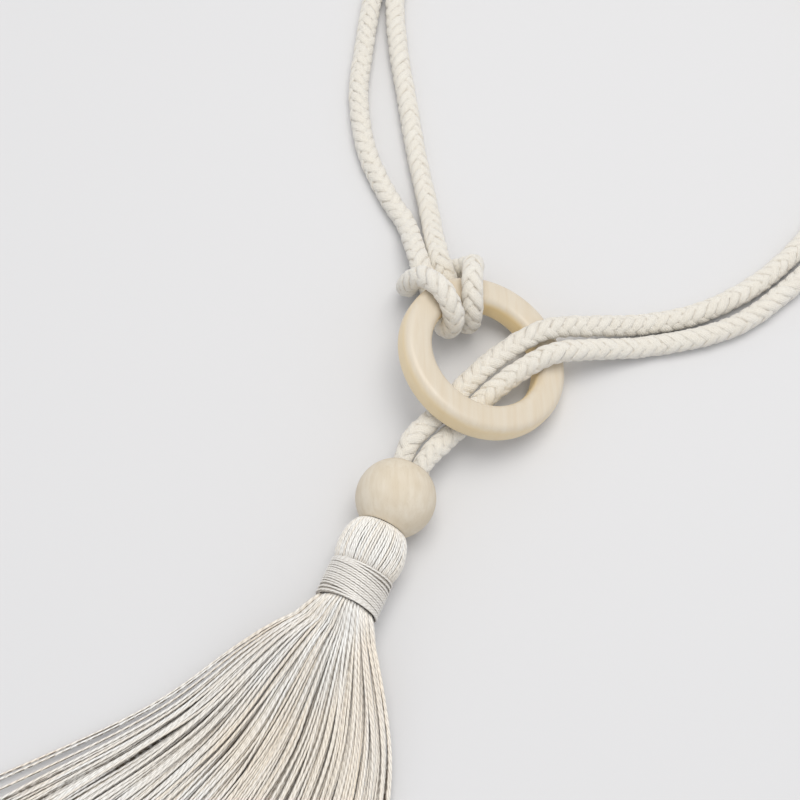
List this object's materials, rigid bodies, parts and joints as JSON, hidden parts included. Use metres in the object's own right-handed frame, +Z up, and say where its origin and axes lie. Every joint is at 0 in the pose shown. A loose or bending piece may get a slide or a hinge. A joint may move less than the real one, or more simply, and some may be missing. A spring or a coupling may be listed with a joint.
{
  "type": "curtain tieback tassel",
  "caption": "Doubled cotton rope loop hitched on a wooden ring and passed through it, ending in a wooden bead and a fanned thread tassel, for tying back a curtain.",
  "frame": {"origin": "on the table, below the middle of the box round the ring, bead and tassel", "axes": "+Z up; +Y from the tassel towards the ring and the loop; +X towards the side where the loop closes"},
  "size_m": [0.3861, 0.5063, 0.036],
  "materials": {
    "cotton_rope": "matt braided cotton",
    "ring_wood": "satin lacquered pale wood",
    "bead_wood": "raw sanded wood",
    "tassel_thread": "silky twisted thread",
    "wrap_thread": "silky wound thread"
  },
  "bodies": {
    "root": {"rope": "cotton_rope", "ring": "ring_wood", "bead": "bead_wood", "tassel": "tassel_thread", "neck_wrap": "wrap_thread"}
  },
  "joints": []
}
